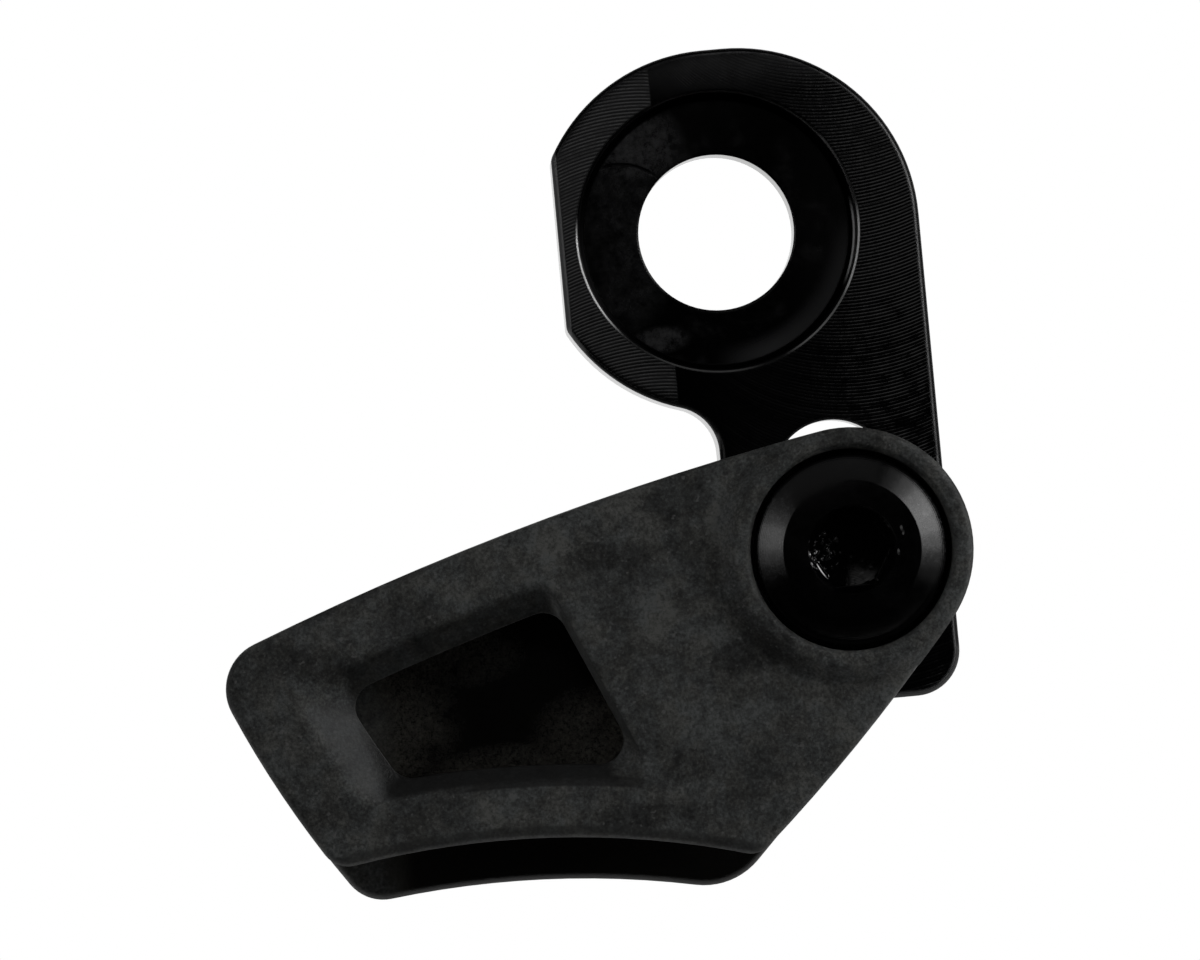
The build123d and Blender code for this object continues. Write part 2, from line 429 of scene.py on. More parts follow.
def recessMarks(tree, s, where, x, z, away):  # smears on the recess floor, one curved scratch, and a painted highlight towards the floor's edge at the lower right
    off = distance(tree, *offsets(tree, x, z, [centre * mm for centre in s["scratchCentre"]]))
    off = calc(tree, "ABSOLUTE", calc(tree, "SUBTRACT", off, s["scratchRadius"] * mm))
    scratch = times(tree, ramp(tree, off, s["scratchWidth"]), band(tree, x, s["scratchSpan"]),
                    ramp(tree, z, s["scratchAbove"]))
    dulled = times(tree, spots(tree, x, z, s["dulled"]), s["dulling"])
    rubbed = strongest(tree, spots(tree, x, z, s["rubbed"]), dulled)
    rubbed = times(tree, rubbed, patches(tree, where, *s["rubbedPatches"]))
    marks = place(tree, handling, Place=where, Size=s["smearSize"])
    smear = calc(tree, "MULTIPLY_ADD", marks["Smear"], s["smearShare"], rubbed, clamp=True)
    # a painted highlight towards the floor's edge, at the lower right
    filletHighlight = times(tree, ramp(tree, away, s["filletHighlightAway"]), aimed(tree, x, z, away, *s["filletHighlightAim"]))
    return strongest(tree, times(tree, smear, without(tree, scratch)), filletHighlight), scratch


def makeBracketFinish(s):
    material, tree, shader, where = newMaterial("milledAnodised")
    x, y, z = split(tree, where)
    away = distance(tree, x, z)  # from the bore's axis
    front, left = ramp(tree, y, s["frontFace"]), ramp(tree, x, s["leftPass"])
    wall, bare = recessWall(tree, s, x, y, z, away)
    soft = place(tree, softEdge, Radius=mixed(tree, wall, s["edgeRound"] * mm, s["wallRound"] * mm))
    margin = place(tree, softEdge, Radius=s["margin"] * mm)["Edge"]
    margin = times(tree, margin, ramp(tree, calc(tree, "ABSOLUTE", z), s["marginHeight"]),
                   ramp(tree, x, s["marginSide"]), ramp(tree, away, s["marginAway"]))
    lines, tone = cutterLines(tree, s, where, x, z, left)
    lines = times(tree, lines, front, without(tree, strongest(tree, soft["Edge"], margin)))
    floor = times(tree, band(tree, y, s["floorDepth"]), ramp(tree, away, s["floorAway"]))
    smear, scratch = (
        times(tree, mark, floor) for mark in recessMarks(tree, s, where, x, z, away))

    # black, with painted sheen on the crests of the lines, on the left pass and at the ring's top, paler
    # towards the right of the recess floor, then smeared, worn, and with painted highlights and glints on
    # the edges and the recess rim
    crest = times(tree, lines, mixed(tree, left, s["rightCrest"], 1.0),
                  calc(tree, "MULTIPLY_ADD", tone, *s["toneCrest"]))
    topSheen = times(tree, ramp(tree, z, s["topSheenHeight"]), calc(tree, "SUBTRACT", front, left, clamp=True))
    crest = added(tree, crest, topSheen, s["topSheenCrest"])
    leftPassSheenShare = mixed(tree, ramp(tree, z, s["leftHeights"]), *s["leftPassSheen"])
    crest = added(tree, crest, times(tree, left, front), leftPassSheenShare)
    crest = times(tree, crest, without(tree, margin))
    crest = added(tree, crest, times(tree, ramp(tree, x, s["floorPaler"]), floor), s["floorCrest"])
    # patchy painted sheen at the ring's top, on the right pass
    haze = times(tree, topSheen, patches(tree, where, *s["topSheenPatches"]), ramp(tree, x, s["topSheenStart"]))
    smudgedAndSheened = added(tree, times(tree, smear, s["smearColour"]), haze, s["topSheenShare"])
    # edge wear with a painted highlight, from the middle and stronger towards the right
    worn = times(tree, soft["Edge"], front, ramp(tree, away, s["outerEdge"]), ramp(tree, x, s["wornSheenStart"]),
                 mixed(tree, ramp(tree, x, s["wornSheenMore"]), s["wornSheenLess"], 1.0),
                 patches(tree, where, *s["wornSheenPatches"]))
    # painted reflection on the broken edge of the flat on the left
    flat = times(tree, ramp(tree, x, s["flatSide"]), ramp(tree, y, s["flatDepth"]), s["flatSheen"])
    colour = s["black"]
    for mask, paint in (
        (calc(tree, "MINIMUM", crest, 1.0), "crest"),
        (smudgedAndSheened, "smudgeAndSheen"),
        (strongest(tree, worn, flat), "wornEdgeAndSheen"),
        (bare, "bare"),
    ):
        colour = tinted(tree, mask, colour, s[paint])
    feed(tree, shader["Base Color"], colour)

    rough = mixed(tree, front, s["smoothRoughness"], s["faceRoughness"])
    rough = mixed(tree, times(tree, smear, s["smearDulls"]), rough, s["smearRoughness"])
    feed(tree, shader["Roughness"], mixed(tree, wall, rough, s["wallRoughness"]))
    # the wall and the upper left of the rim are black metal that reflects nothing: painted shade
    feed(tree, shader["Metallic"], wall)
    shader["IOR"].default_value = s["ior"]
    rings = calc(tree, "SINE", times(tree, away, 2 * math.pi / (s["ringPitch"] * mm)))
    height = added(tree, lines, times(tree, rings, floor), s["ringHeight"])
    height = added(tree, height, scratch, -s["scratchDepth"])
    feed(tree, shader["Normal"], bump(tree, height, s["lineDepth"] * mm, soft["Normal"]))
    return material


cageFinish = {
    "black": (0.0, 0.0, 0.0),
    "pale": (0.066, 0.067, 0.0625),  # the palest that the mottling gets
    "cool": (0.063, 0.067, 0.066),
    "speck": (0.09, 0.09, 0.088),
    # painted sheen on the nose side of the window surround's slope, lower down
    "noseSlope": (0.058, 0.060, 0.062),
    "dark": (0.009, 0.0092, 0.0087),  # painted shade along the lip and on drafted walls
    "smoothAndShaded": (0.0008, 0.0008, 0.0009),  # painted shade on the window surround's slopes, where the mould was also smooth, and in a band above the lip
    # dust tone on the channel's back, seen where painted light lifts its painted shade
    "dustAndLight": (0.075, 0.068, 0.054),
    "shadedBack": (0.0006, 0.0006, 0.0007),  # painted shade on the back of the channel
    "ior": 1.36,
    "roughness": (0.7, 0.54),
    "polishedRoughness": 0.34,
    "innerRoughness": 0.24,

    # mottling: how much each noise and each kind of mark lifts the tone; the crease is painted shade
    "noiseShares": {"patch": 0.9, "wide": 0.55, "small": 0.9, "grain": 1.3},
    "markShares": {"worn": 0.16, "stained": -0.26, "creaseShade": -0.25},
    "contrast": 0.8,
    "middle": 0.726,
    "toneCurve": 2.2,
    "grainScale": 5200.0,
    "patchScale": 380.0,
    "wideNoise": (110.0, 3, 0.55),
    "smallNoise": (1500.0, 3, 0.7),
    "coolPatches": (700.0, 2, 0.5, 0.4, 0.6),
    "grainDepth": 0.022,
    "speckShare": 0.55,
    # lighter spots: mottling, partly painted light on the collar's left flank
    "worn": [
        (-1.7, -19.8, 1.9, 4.2), (3.6, -35.6, 3.0, 2.0),
        (-18.7, -38.5, 3.1, 1.4), (-5.5, -33.4, 3.4, 2.7), (-7.3, -26.1, 1.9, 2.7),
        (-14.1, -20.6, 1.9, 2.3), (4.1, -34.8, 3.3, 2.3), (-18.2, -22.0, 1.5, 1.0),
    ],
    # darker spots: stains, partly painted shade below the collar on the left
    "stained": [
        (-1.2, -29.7, 3.2, 1.8),
        (-30.4, -27.6, 2.9, 1.6), (-5.2, -18.7, 3.1, 2.0), (-0.1, -28.5, 2.7, 2.0),
        (-10.3, -22.1, 3.8, 1.2), (7.9, -15.8, 4.1, 1.0), (-9.6, -39.9, 5.4, 1.1),
    ],
    "creaseShadeRadius": 8.7,  # foot of the collar, painted shade in the crease below on the left
    "creaseShadeWidth": (0.62, 0.1),
    "creaseShadeAim": (222, 31, 11),

    # window surround
    "surround": {  # a point on each side in X and Z, and the way out of it
        "top": (-22.7, -26.1, 109.1), "bolt": (-11.8, -30.5, 13.9),
        "lip": (-19.9, -37.4, 267.4), "nose": (-30.8, -33.1, 194.6),
    },
    "surroundEdge": (1.0, 0.6),
    "plateDepth": (-12.9, -13.1),
    "slopeDepth": (-14.88, -14.5),
    "wallDepth": (-14.4, -14.0),
    "noseStart": (-3.6, -2.4),  # the slope is textured towards the nose
    "noseLit": (-29.6, -31.6),
    "noseSheenShare": 0.5,
    "boltSideEnd": (-0.5, -1.2),  # and towards the bolt
    # the painted shade on the slopes is stronger low down
    "slopeHeights": (-34, -32.5),
    "slopeShare": (0.88, 0.6),
    "edgeRound": 0.5,
    "slopeRound": 0.9,
    "wallRound": 0.08,

    # chain lip of the front plate, with painted shade on it and in a band above it
    "lipCentre": (-19.55, -101.75),
    "lipRadius": 61.0,
    # the lip band gets painted shade
    "lipBand": (0.1, 0.3, 0.7, 1.0),
    "frontDepth": (-14.0, -14.3),
    "paintedShadeShare": 0.6,
    "drafted": (0.7, 0.3),  # how far a face is turned from the front
    # a band above the lip with painted shade
    "lipShadeBand": (3.42, 3.6, 4.1, 4.5),
    "lipShadeSpan": (-25, -20, -11, -7.5),
    "lipShadeShare": 0.8,

    # back of the channel: painted shade, with dust and painted light in spots where the window shows it
    "channelBack": (-7.1, -6.9, -6.6, -6.3),
    "channelSpan": (-28, -25, 0.5, 3.5),  # beyond these the painted shade is halved, so the rear plate's ends show their mottled skin
    "endShadeShare": 0.5,
    "shadedBackShare": 0.96,
    "dustAndLightShare": 0.6,
    # spots of dust and painted light where the window shows the back
    "dustAndLightSpots": [
        (-25.8, -32.2, 5.6, 4.8), (-12.1, -34.8, 5.0, 4.4),
        (-17.9, -36.0, 7.0, 1.9), (-20.6, -28.0, 5.0, 2.6),
    ],
    "fineDustAndLight": (4200.0, 6, 0.9, 0.37, 0.67),
    "wideDustAndLight": (420.0, 3, 0.6, 0.2, 0.5),
}


def windowSurround(tree, s, x, y, z):  # a mask of all of it, and how far out each side is
    around, beyond = ramp(tree, y, s["plateDepth"]), {}
    for side, (sideX, sideZ, angle) in s["surround"].items():
        across, up = math.cos(math.radians(angle)), math.sin(math.radians(angle))
        out = calc(tree, "MULTIPLY_ADD", x, across, -(sideX * across + sideZ * up) * mm)
        beyond[side] = added(tree, out, z, up)
        around = times(tree, around, ramp(tree, beyond[side], s["surroundEdge"]))
    return around, beyond


# painted shade in the crease at the collar's foot, below on the left
def collarCreaseShade(tree, s, x, z):
    boltX, boltZ = offsets(tree, x, z, (boltAxis.x, boltAxis.z))
    away = distance(tree, boltX, boltZ)
    off = calc(tree, "ABSOLUTE", calc(tree, "SUBTRACT", away, s["creaseShadeRadius"] * mm))
    return times(tree, ramp(tree, off, s["creaseShadeWidth"]), aimed(tree, boltX, boltZ, away, *s["creaseShadeAim"]))


def mottledPlastic(tree, s, where, x, z, skin):
    marks = {
        "patch": skin["Patch"],
        "wide": noise(tree, where, *s["wideNoise"]),
        "small": noise(tree, where, *s["smallNoise"]),
        "grain": skin["Height"],
        "worn": spots(tree, x, z, s["worn"]),
        "stained": spots(tree, x, z, s["stained"]),
        "creaseShade": collarCreaseShade(tree, s, x, z),
    }
    tone = 0.0
    for mark, share in {**s["noiseShares"], **s["markShares"]}.items():
        tone = added(tree, tone, marks[mark], share)
    average = sum(s["noiseShares"].values()) / 2
    offset = s["middle"] - s["contrast"] * average
    tone = calc(tree, "MULTIPLY_ADD", tone, s["contrast"], offset, clamp=True)
    hue = tinted(tree, patches(tree, where, *s["coolPatches"]), s["pale"], s["cool"])
    return tinted(tree, calc(tree, "POWER", tone, s["toneCurve"]), s["black"], hue)


def makeCageFinish(s):
    material, tree, shader, where = newMaterial("mouldedPlastic")
    x, y, z = split(tree, where)
    around, beyond = windowSurround(tree, s, x, y, z)
    sunk = times(tree, around, ramp(tree, y, s["slopeDepth"]))
    noseSlope = times(tree, sunk, ramp(tree, beyond["nose"], s["noseStart"]))
    # the window surround's slopes are smoother and get painted shade
    smoothAndShaded = calc(tree, "SUBTRACT", sunk, noseSlope, clamp=True)
    smoothAndShaded = times(tree, smoothAndShaded, ramp(tree, beyond["bolt"], s["boltSideEnd"]))

    # round the chain's way
    lip = distance(tree, *offsets(tree, x, z, [centre * mm for centre in s["lipCentre"]]))
    lip = calc(tree, "SUBTRACT", lip, s["lipRadius"] * mm)
    ahead = ramp(tree, y, s["frontDepth"])
    # a band above the lip that gets painted shade
    lipShadeBand = times(tree, band(tree, lip, s["lipShadeBand"]), band(tree, x, s["lipShadeSpan"]), ahead)
    # painted shade on the lip band and on faces turned from the front
    lip = times(tree, band(tree, lip, s["lipBand"]), ahead)
    normal = split(tree, tree.nodes.new("ShaderNodeTexCoord").outputs["Normal"])
    drafted = smooth(tree, calc(tree, "ABSOLUTE", normal[1]), *s["drafted"])
    # back of the channel: painted shade, halved towards its ends and lifted in spots of dust and painted
    # light
    back, middle = band(tree, y, s["channelBack"]), band(tree, x, s["channelSpan"])
    dustAndLightSpots = times(tree, spots(tree, x, z, s["dustAndLightSpots"]),
                  patches(tree, where, *s["fineDustAndLight"]), patches(tree, where, *s["wideDustAndLight"]))
    shadedBack = times(tree, back, mixed(tree, middle, s["endShadeShare"], 1.0), without(tree, dustAndLightSpots))

    skin = place(tree, grain, Place=where, Fine=s["grainScale"], Patch=s["patchScale"])
    colour = mottledPlastic(tree, s, where, x, z, skin)
    # painted shade on the window surround's slopes, stronger low down, and in the band above the lip
    slopeShare = mixed(tree, ramp(tree, z, s["slopeHeights"]), *s["slopeShare"])
    slopeAndBandShade = strongest(tree, times(tree, smoothAndShaded, slopeShare), times(tree, lipShadeBand, s["lipShadeShare"]))
    for mask, paint in (
        (times(tree, skin["Speck"], s["speckShare"]), "speck"),
        # painted sheen on the nose slope
        (times(tree, noseSlope, ramp(tree, z, s["noseLit"]), s["noseSheenShare"]), "noseSlope"),
        (times(tree, strongest(tree, lip, drafted), s["paintedShadeShare"]), "dark"),
        (slopeAndBandShade, "smoothAndShaded"),
        (times(tree, back, middle, s["dustAndLightShare"]), "dustAndLight"),
        (times(tree, shadedBack, s["shadedBackShare"]), "shadedBack"),
    ):
        colour = tinted(tree, mask, colour, s[paint])
    feed(tree, shader["Base Color"], colour)

    rough = mixed(tree, skin["Patch"], *s["roughness"])
    rough = mixed(tree, smoothAndShaded, rough, s["polishedRoughness"])
    feed(tree, shader["Roughness"], mixed(tree, shadedBack, rough, s["innerRoughness"]))
    shader["IOR"].default_value = s["ior"]
    radius = mixed(tree, around, s["edgeRound"] * mm, s["slopeRound"] * mm)
    deep = times(tree, around, ramp(tree, y, s["wallDepth"]))
    soft = place(tree, softEdge, Radius=mixed(tree, deep, radius, s["wallRound"] * mm))
    feed(tree, shader["Normal"], bump(tree, skin["Height"], s["grainDepth"] * mm, soft["Normal"]))
    return material


boltFinish = {  # X and Z from the bolt's axis, depths from the head's face
    "black": (0.0003, 0.0003, 0.0004),
    "worn": (0.014, 0.014, 0.0145),
    "patinaAndSheen": (0.025, 0.025, 0.026),  # mottling on the head's cone, kept to its lit sides and upper part: partly painted sheen
    "bare": (0.075, 0.075, 0.075),
    "steel": (0.09, 0.09, 0.09),  # where the broach tore the black away
    "ior": 1.38,
    "roughness": (0.06, 0.32),
    "roughNoise": (2800.0, 4, 0.75),
    "socketRoughness": 0.1,
    "edgeRound": 0.08,
    "mouthAway": (2.7, 2.8, 3.3, 3.4),  # its edge stays sharp

    # turned rings and fine grain
    "ringPitch": 0.11,
    "ringDepth": 0.0010,
    "grainScale": 7000.0,
    "grainHeight": 3.0,  # this and the other heights are shares of the rings' depth
    "smearSize": 420.0,
    "smearShare": 0.12,
    "edgeShare": 0.2,

    # wear on the head
    "headDepth": (0.9, 0.7),
    "scuffed": [
        (3.44, 1.12, 0.13, 0.26), (3.53, 0.85, 0.11, 0.22), (3.1, -0.45, 0.12, 0.26),
        (5.1, 1.9, 0.4, 0.2), (4.75, 2.6, 0.16, 0.14),
    ],
    "scuffPatches": (2600.0, 3, 0.6, 0.35, 0.6),
    "coneAway": (4.75, 4.85),
    "coneDepth": (1.3, 1.1),
    "coneSides": (0.55, 0.95),  # shares of the way out, across and up
    "coneUpper": (-0.4, -0.05),
    "patinaPatches": (3300.0, 4, 0.8, 0.42, 0.66),

    # socket, torn by the broach
    "socketAway": (3.25, 3.2),
    "socketDepth": (0.03, 0.23, 3.83, 4.03),
    "torn": [(-2.0, 0.1, 1.7, 1.8)],
    "tornElsewhere": 0.05,
    "tornPatches": (1700.0, 2, 0.5, 0.48, 0.7),
    "tornHeight": 150.0,
    "tornSteel": (0.05, 0.4),
    "glintRadius": 2.42,
    "glintWidth": 0.2,
    "glintRoom": (0.32, 0.2),  # left smooth round the glint
    "glintAim": (211, 18, 12),
    "glintHeight": 104.0,
    "glintSteel": (0.0, 0.2),
}


def headWear(tree, s, where, x, y, z, away):  # scuffs, and the cone's mottling on its sides, kept where the light falls as painted sheen
    scuff = times(tree, spots(tree, x, z, s["scuffed"]), ramp(tree, y, s["headDepth"]),
                  patches(tree, where, *s["scuffPatches"]))
    sides = calc(tree, "DIVIDE", calc(tree, "ABSOLUTE", x), away)
    patinaAndSheen = times(tree, ramp(tree, away, s["coneAway"]), ramp(tree, y, s["coneDepth"]),
                   smooth(tree, sides, *s["coneSides"]),
                   smooth(tree, calc(tree, "DIVIDE", z, away), *s["coneUpper"]),
                   patches(tree, where, *s["patinaPatches"]))
    return scuff, patinaAndSheen


def socketTears(tree, s, where, x, z, away, socket):  # ragged bits, and one smooth glint
    toward = times(tree, aimed(tree, x, z, away, *s["glintAim"]), socket)
    off = calc(tree, "ABSOLUTE", calc(tree, "SUBTRACT", away, s["glintRadius"] * mm))
    glint = calc(tree, "MULTIPLY_ADD", off, -1 / (s["glintWidth"] * mm), 1.0, clamp=True)
    room = times(tree, ramp(tree, off, s["glintRoom"]), toward)
    ragged = mixed(tree, spots(tree, x, z, s["torn"]), s["tornElsewhere"], 1.0)
    torn = times(tree, patches(tree, where, *s["tornPatches"]), socket, ragged, without(tree, room))
    return torn, times(tree, glint, toward)


def makeBoltFinish(s):
    material, tree, shader, where = newMaterial("blackTurned")
    centred = tree.nodes.new("ShaderNodeMapping")
    centred.inputs["Location"].default_value = (-boltAxis.x, -boltLow.y, -boltAxis.z)
    feed(tree, centred.inputs["Vector"], where)
    x, y, z = split(tree, centred.outputs[0])
    away = distance(tree, x, z)
    scuff, patinaAndSheen = headWear(tree, s, where, x, y, z, away)
    socket = times(tree, band(tree, y, s["socketDepth"]), ramp(tree, away, s["socketAway"]))
    torn, glint = socketTears(tree, s, where, x, z, away, socket)
    steel = strongest(tree, smooth(tree, torn, *s["tornSteel"]), smooth(tree, glint, *s["glintSteel"]))
    mouth = band(tree, away, s["mouthAway"])
    soft = place(tree, softEdge, Radius=mixed(tree, mouth, s["edgeRound"] * mm, 0.0))
    smear = place(tree, handling, Place=where, Size=s["smearSize"])["Smear"]
    worn = times(tree, soft["Edge"], s["edgeShare"])
    worn = calc(tree, "MULTIPLY_ADD", smear, s["smearShare"], worn, clamp=True)
    colour = s["black"]
    for mask, paint in ((worn, "worn"), (patinaAndSheen, "patinaAndSheen"), (scuff, "bare"), (steel, "steel")):
        colour = tinted(tree, mask, colour, s[paint])
    feed(tree, shader["Base Color"], colour)
    feed(tree, shader["Metallic"], steel)
    rough = mixed(tree, noise(tree, where, *s["roughNoise"]), *s["roughness"])
    feed(tree, shader["Roughness"], mixed(tree, socket, rough, s["socketRoughness"]))
    shader["IOR"].default_value = s["ior"]
    skin = place(tree, grain, Place=where, Fine=s["grainScale"])
    height = calc(tree, "SINE", times(tree, away, 2 * math.pi / (s["ringPitch"] * mm)))
    for mark, share in ((skin["Height"], "grainHeight"), (torn, "tornHeight"), (glint, "glintHeight")):
        height = added(tree, height, mark, s[share])
    feed(tree, shader["Normal"], bump(tree, height, s["ringDepth"] * mm, soft["Normal"]))
    return material


steelFinish = {
    "zinc": (0.56, 0.57, 0.58),
    "dull": (0.36, 0.37, 0.38),
    "roughness": (0.26, 0.46),
    "grainScale": 5000.0,
    "patchScale": 700.0,
    "grainDepth": 0.004,
    "patchShare": 0.4,
    "smearSize": 500.0,
    "smearShare": 0.5,
    "edgeRound": 0.12,
}


def makeSteelFinish(s):
    material, tree, shader, where = newMaterial("zincPlated")
    skin = place(tree, grain, Place=where, Fine=s["grainScale"], Patch=s["patchScale"])
    smear = place(tree, handling, Place=where, Size=s["smearSize"])["Smear"]
    soft = place(tree, softEdge, Radius=s["edgeRound"] * mm)
    patch = times(tree, skin["Patch"], s["patchShare"])
    dull = calc(tree, "MULTIPLY_ADD", smear, s["smearShare"], patch, clamp=True)
    feed(tree, shader["Base Color"], tinted(tree, dull, s["zinc"], s["dull"]))
    feed(tree, shader["Roughness"], mixed(tree, skin["Patch"], *s["roughness"]))
    shader["Metallic"].default_value = 1
    feed(tree, shader["Normal"], bump(tree, skin["Height"], s["grainDepth"] * mm, soft["Normal"]))
    return material


finishes = {
    "anodised_bracket": makeBracketFinish(bracketFinish),
    "moulded_cage": makeCageFinish(cageFinish),
    "black_bolt": makeBoltFinish(boltFinish),
    "plated_steel": makeSteelFinish(steelFinish),
}
for part in frame["record"]["subparts"]:
    node = frame["nodes"][part["node"]]
    for materialSlot in node.material_slots:
        materialSlot.material = finishes[part["material_slot"]]
print("finishes assigned")


# clamp bolt with its real thread and broached socket, drawn along Z from the back of its head
boltPlan = {
    "headRadius": 6.5 * mm,
    "rimHeight": 3.1 * mm,
    "faceRadius": 4.7 * mm,
    "headHeight": 4.2 * mm,
    "edgeRound": 0.14 * mm,
    "faceRound": 0.025 * mm,
    "roundSteps": 3,
    "mouthRadius": 3.05 * mm,
    "mouthSlope": 1.25,  # depth of the mouth's cone for each unit of radius
    "hexWidth": 5.0 * mm,
    "hexTurn": 30,
    "socketDepth": 2.9 * mm,
    "drillRadius": 2.4 * mm,
    "drillPoint": 0.7 * mm,
    "length": 10.0 * mm,
    "plainShank": 1.2 * mm,
    "overlap": 0.3 * mm,  # of the thread into the plain shank
    "crest": 2.98 * mm,
    "root": 2.45 * mm,
    "profile": [  # radius, and share of one pitch
        ("root", 0), ("root", 0.125), ("crest", 0.4375), ("crest", 0.5625), ("root", 0.875), ("root", 1),
    ],
    "tip": 0.6 * mm,
    "pitch": 1.0 * mm,
    "spareTurns": 2,
    "threadSteps": 40,  # to one turn
    "around": 96,
}
sharpAngle = math.radians(32)  # edges that turn further stay sharp
mergeReach = 0.001 * mm
pickReach = 0.01 * mm
cutReach = 0.0001 * mm
headBack = boltLow.y + boltPlan["headHeight"]
fromBolt = Matrix(((1, 0, 0, boltAxis.x), (0, 0, -1, headBack), (0, 1, 0, boltAxis.z), (0, 0, 0, 1)))


def newPiece(name, mesh, slotName):  # takes a bmesh that is drawn along the bolt
    bmesh.ops.recalc_face_normals(mesh, faces=mesh.faces)
    bmesh.ops.transform(mesh, matrix=fromBolt, verts=mesh.verts)
    data = bpy.data.meshes.new(name)
    mesh.to_mesh(data)
    mesh.free()
    data.shade_smooth()
    data.set_sharp_from_angle(angle=sharpAngle)
    data.materials.append(finishes[slotName])
    piece = bpy.data.objects.new(name, data)
    scene.collection.objects.link(piece)
    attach(piece, "clamp")
    return piece


def chain(mesh, points, closed=False):
    verts = [mesh.verts.new((radius, 0, height)) for radius, height in points]
    ends = verts[1:] + verts[:1] if closed else verts[1:]
    return verts + [mesh.edges.new(pair) for pair in zip(verts, ends)]


def spinThread(mesh, s, start, turns, bolt, closed=False):  # one pitch of profile, wound upwards
    pitch, steps = bolt["pitch"], bolt["threadSteps"]
    points = [(s[radius], start + along * pitch) for radius, along in s["profile"]]
    bmesh.ops.spin(
        mesh, geom=chain(mesh, points, closed), cent=(0, 0, 0), axis=(0, 0, 1),
        dvec=(0, 0, pitch / steps), angle=2 * math.pi * turns, steps=turns * steps)
    bmesh.ops.remove_doubles(mesh, verts=mesh.verts, dist=mergeReach)


def trim(mesh, low, high):  # keeps what lies between two heights, and closes it
    for height, side in ((low, -1), (high, 1)):
        bmesh.ops.bisect_plane(
            mesh, geom=mesh.verts[:] + mesh.edges[:] + mesh.faces[:], dist=cutReach,
            plane_co=(0, 0, height), plane_no=(0, 0, side), clear_outer=True)
    bmesh.ops.holes_fill(mesh, edges=[e for e in mesh.edges if e.is_boundary], sides=0)


def makeThread(s):  # wound on past the tip and the shank, then trimmed
    mesh = bmesh.new()
    turns = math.ceil((s["length"] - s["plainShank"]) / s["pitch"]) + s["spareTurns"] + 1
    spinThread(mesh, s, -s["length"] - s["spareTurns"] * s["pitch"], turns, s)
    for vert in mesh.verts:  # the tip is turned to a cone
        limit = s["crest"] - s["tip"] + max(vert.co.z + s["length"], 0)
        vert.co.xy *= min(1, limit / vert.co.xy.length)
    trim(mesh, -s["length"], s["overlap"] - s["plainShank"])
    return mesh


def spinHead(mesh, s):  # with the plain shank, up to the open mouth of the socket
    points = [
        (0, -s["plainShank"]), (s["crest"], -s["plainShank"]), (s["crest"], 0),
        (s["headRadius"], 0), (s["headRadius"], s["rimHeight"]),
        (s["faceRadius"], s["headHeight"]), (s["mouthRadius"], s["headHeight"]),
    ]
    before = set(mesh.verts)
    bmesh.ops.spin(
        mesh, geom=chain(mesh, points), cent=(0, 0, 0), axis=(0, 0, 1), angle=2 * math.pi,
        steps=s["around"], use_merge=True)
    head = [v for v in mesh.verts if v not in before]
    bmesh.ops.remove_doubles(mesh, verts=head, dist=mergeReach)


def cutSocket(mesh, s):  # its edge follows the mouth's cone, its floor is left by the drill
    top, bottom = s["headHeight"], s["headHeight"] - s["socketDepth"]
    mouthEdges = [e for e in mesh.edges if e.is_boundary]
    corners = bmesh.ops.create_circle(
        mesh, segments=6, radius=s["hexWidth"] / math.sqrt(3),
        matrix=Matrix.Rotation(math.radians(s["hexTurn"]), 4, "Z"))
    ring = list({e for v in corners["verts"] for e in v.link_edges})
    bmesh.ops.subdivide_edges(mesh, edges=ring, cuts=s["around"] // 6 - 1)
    ring = [e for e in mesh.edges if e.is_wire]
    for vert in {v for e in ring for v in e.verts}:
        vert.co.z = top - (s["mouthRadius"] - vert.co.xy.length) * s["mouthSlope"]
    bmesh.ops.bridge_loops(mesh, edges=ring + mouthEdges)
    for step in ("wall", "ledge", "point"):
        grown = bmesh.ops.extrude_edge_only(mesh, edges=ring)["geom"]
        ring = [e for e in grown if isinstance(e, bmesh.types.BMEdge) and e.is_boundary]
        for vert in {v for e in ring for v in e.verts}:
            vert.co.z = bottom
            if step == "ledge":
                vert.co.xy *= s["drillRadius"] / vert.co.xy.length
            if step == "point":
                vert.co = (0, 0, bottom - s["drillPoint"])
    bmesh.ops.remove_doubles(mesh, verts=mesh.verts, dist=mergeReach)


def roundHead(mesh, s):
    rounds = (
        (s["headRadius"], s["rimHeight"], s["edgeRound"]),
        (s["headRadius"], 0, s["edgeRound"]),
        (s["faceRadius"], s["headHeight"], s["faceRound"]),
    )
    for radius, height, size in rounds:
        edges = [
            e for e in mesh.edges
            if all(abs(v.co.xy.length - radius) + abs(v.co.z - height) < pickReach for v in e.verts)
        ]
        bmesh.ops.bevel(
            mesh, geom=edges, offset=size, affect="EDGES", segments=s["roundSteps"], profile=0.5,
            material=-1)


def makeBolt(s):
    mesh = makeThread(s)
    spinHead(mesh, s)
    cutSocket(mesh, s)
    roundHead(mesh, s)
    return newPiece("threadedBolt", mesh, "black_bolt")


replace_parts(makeBolt(boltPlan), "clamp_bolt")

# thread inside the sleeve nut, a ridge that stands in its plain bore
nutLow, nutHigh = (Vector(corner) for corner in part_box("sleeve_nut"))
nutThreadPlan = {
    "base": 3.06 * mm,
    "crest": 2.56 * mm,
    "profile": [("base", -0.38), ("crest", -0.06), ("crest", 0.06), ("base", 0.38)],
    "inset": 0.25 * mm,
}


def makeNutThread(s, bolt):
    mesh = bmesh.new()
    pitch = bolt["pitch"]
    back, front = headBack - nutHigh.y, headBack - nutLow.y  # the nut's ends, along the bolt
    start = math.floor(back / pitch) * pitch - pitch
    turns = math.ceil((front - start) / pitch) + 1
    spinThread(mesh, s, start, turns, bolt, closed=True)
    trim(mesh, back + s["inset"], front - s["inset"])
    return newPiece("nutThread", mesh, "plated_steel")


makeNutThread(nutThreadPlan, boltPlan)
print("bolt and nut thread built")


